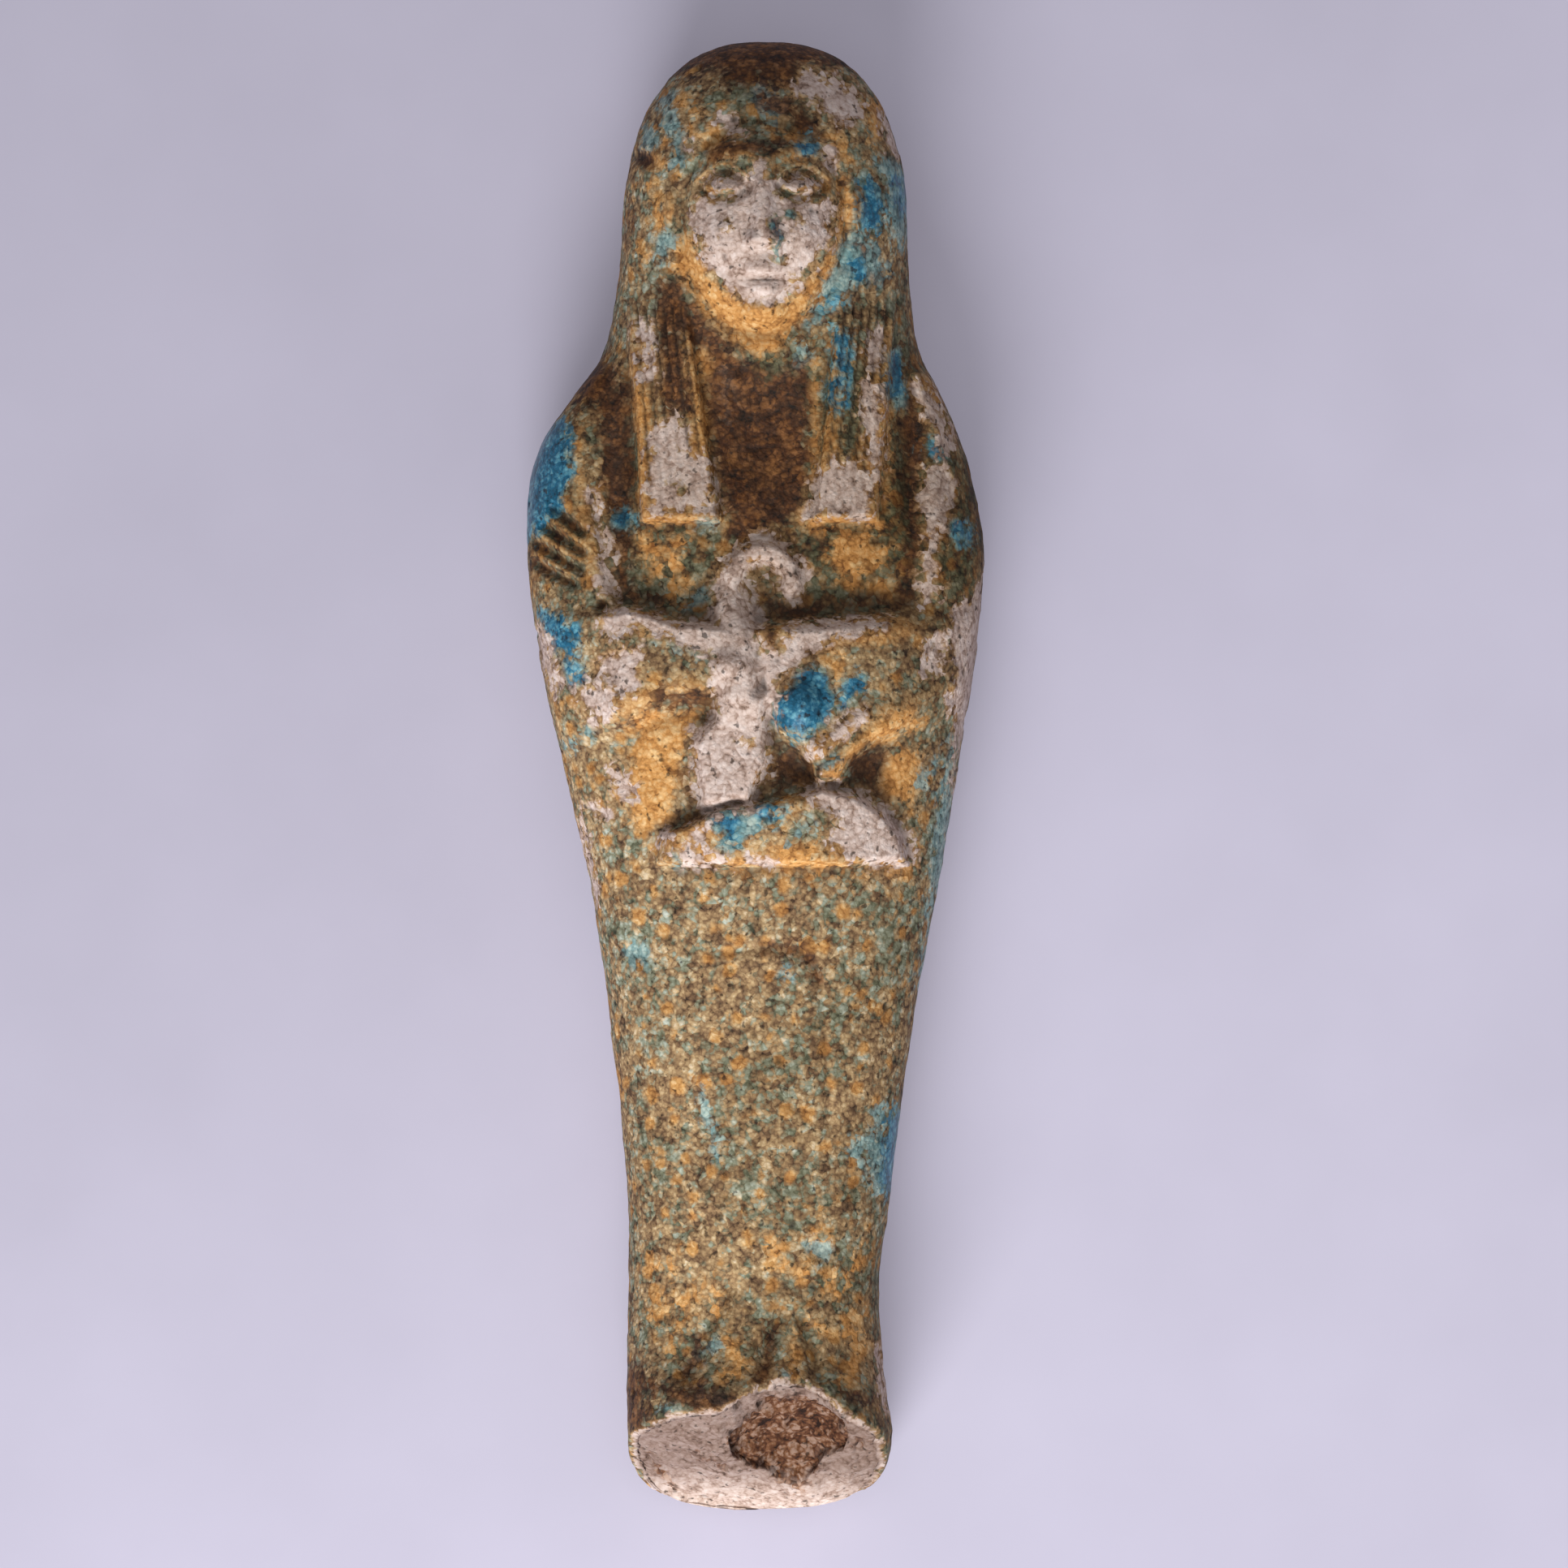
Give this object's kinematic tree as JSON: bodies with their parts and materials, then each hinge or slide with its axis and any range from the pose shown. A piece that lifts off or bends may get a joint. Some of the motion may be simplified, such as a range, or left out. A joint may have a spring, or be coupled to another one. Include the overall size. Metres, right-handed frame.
{
  "type": "ushabti figurine",
  "caption": "Mummy-shaped funerary figure moulded in faience in one piece, with a long wig, crossed arms, a crook and a broken foot end, lying on its back.",
  "frame": {"origin": "middle of the figure's bounding box, on the plane its back lies on", "axes": "+Y along the figure towards the crown, +Z out of its front, +X towards its own left arm"},
  "size_m": [0.0468, 0.15, 0.0288],
  "materials": {
    "faience": "worn matt body with patches of glossy blue glaze"
  },
  "bodies": {
    "root": {"ushabti_figurine": "faience"}
  },
  "joints": []
}
